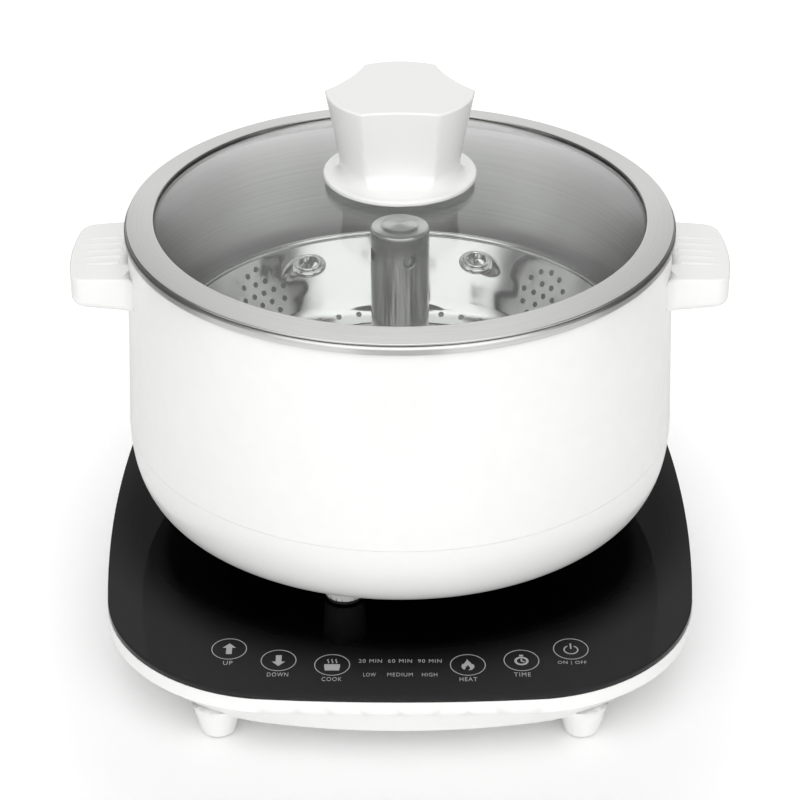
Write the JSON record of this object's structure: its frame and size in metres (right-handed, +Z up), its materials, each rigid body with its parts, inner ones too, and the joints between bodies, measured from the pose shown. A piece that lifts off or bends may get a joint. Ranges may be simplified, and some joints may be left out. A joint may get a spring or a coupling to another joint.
{
  "type": "electric lifting hot pot",
  "caption": "Round white electric hot pot with a domed glass lid and lifting steel basket, standing on a soft-square black glass touch base.",
  "frame": {"origin": "on the floor under the centre of the base's footprint", "axes": "+Z up; the controls face -Y; +X is to the right seen from the controls; the pot's axis stands 6.5 mm behind the origin"},
  "size_m": [0.3398, 0.3426, 0.2854],
  "materials": {
    "black_glass": "black back-printed glass, polished",
    "white_gloss_plastic": "white satin-gloss moulded plastic",
    "white_enamel": "white gloss coating",
    "brushed_steel": "brushed stainless steel",
    "polished_steel": "polished stainless steel",
    "clear_glass": "clear tempered glass",
    "dark_rubber": "matt black rubber",
    "pale_silicone": "translucent white silicone",
    "black_plastic": "matt black moulded plastic",
    "natural_nylon": "natural nylon",
    "circuit_board": "green solder mask",
    "component_plastic": "dark component cases",
    "brass": "bright brass",
    "cast_aluminium": "cast aluminium",
    "motor_steel": "zinc-plated steel"
  },
  "bodies": {
    "base": {"glass_panel": "black_glass", "upper_housing": "white_gloss_plastic", "lower_housing": "white_gloss_plastic", "panel_gasket": "dark_rubber", "base_screws": "polished_steel", "cord_gland": "dark_rubber", "touch_board": "circuit_board", "touch_pads": "brass", "power_board": "circuit_board", "power_components": "component_plastic", "gear_plate": "polished_steel", "lift_motor": "motor_steel", "coupler_hub": "black_plastic", "contact_rings": "brass", "foot_pad_1": "dark_rubber", "foot_pad_2": "dark_rubber", "foot_pad_3": "dark_rubber", "foot_pad_4": "dark_rubber"},
    "motor_rotor": {"rotor_and_pinion": "motor_steel"},
    "drive": {"output_gear": "natural_nylon", "drive_coupler": "polished_steel"},
    "pot": {"outer_shell": "white_enamel", "bottom_cover": "white_gloss_plastic", "inner_pot": "brushed_steel", "rim_gasket": "dark_rubber", "pot_foot_1": "white_gloss_plastic", "pot_foot_2": "white_gloss_plastic", "pot_foot_3": "white_gloss_plastic", "pot_foot_pads": "dark_rubber", "heater_plate": "cast_aluminium", "heating_element": "polished_steel", "thermostat": "component_plastic", "pot_connector": "black_plastic", "connector_pins": "brass", "right_handle": "white_gloss_plastic", "left_handle": "white_gloss_plastic", "right_bracket": "brushed_steel", "left_bracket": "brushed_steel", "handle_screws": "polished_steel", "chimney_tube": "polished_steel", "screw_bearing": "natural_nylon"},
    "screw": {"lead_screw": "polished_steel"},
    "lifter": {"lift_nut": "natural_nylon", "push_tube": "polished_steel"},
    "basket": {"basket_bowl": "polished_steel", "basket_rim": "polished_steel", "eyelet_1": "polished_steel", "eyelet_2": "polished_steel", "eyelet_3": "polished_steel", "eyelet_4": "polished_steel", "centre_sleeve": "polished_steel", "sleeve_cap": "polished_steel", "sleeve_collar": "natural_nylon"},
    "lid": {"lid_rim": "brushed_steel", "lid_glass": "clear_glass", "lid_seal": "dark_rubber", "knob": "white_gloss_plastic", "knob_plate": "white_gloss_plastic", "knob_washer": "pale_silicone", "knob_screw": "polished_steel"}
  },
  "joints": [
    {"name": "pot_lift_off", "type": "slide", "parent": "base", "child": "pot", "axis": [0, 0, 1], "range_m": [0, 0.15]},
    {"name": "basket_lifter", "type": "slide", "parent": "pot", "child": "lifter", "axis": [0, 0, 1], "range_m": [0, 0.085]},
    {"name": "basket_lift_off", "type": "slide", "parent": "lifter", "child": "basket", "axis": [0, 0, 1], "range_m": [0, 0.15]},
    {"name": "lid_lift_off", "type": "slide", "parent": "basket", "child": "lid", "axis": [0, 0, 1], "range_m": [0, 0.15]},
    {"name": "lead_screw_turn", "type": "hinge", "parent": "pot", "child": "screw", "pos_m": [0, 0.0065, 0.13], "axis": [0, 0, 1], "range_deg": [-1276, 0]},
    {"name": "drive_turn", "type": "hinge", "parent": "base", "child": "drive", "pos_m": [0, 0.0065, 0.032], "axis": [0, 0, 1], "range_deg": [-1276, 0]},
    {"name": "motor_turn", "type": "hinge", "parent": "base", "child": "motor_rotor", "pos_m": [0, 0.0425, 0.032], "axis": [0, 0, 1], "range_deg": [0, 4463.5]}
  ],
  "couplings": [
    {"joint": "lead_screw_turn", "follows": "basket_lifter", "rad_per_m": -261.8},
    {"joint": "drive_turn", "follows": "basket_lifter", "rad_per_m": -261.8},
    {"joint": "motor_turn", "follows": "basket_lifter", "rad_per_m": 916.3}
  ]
}
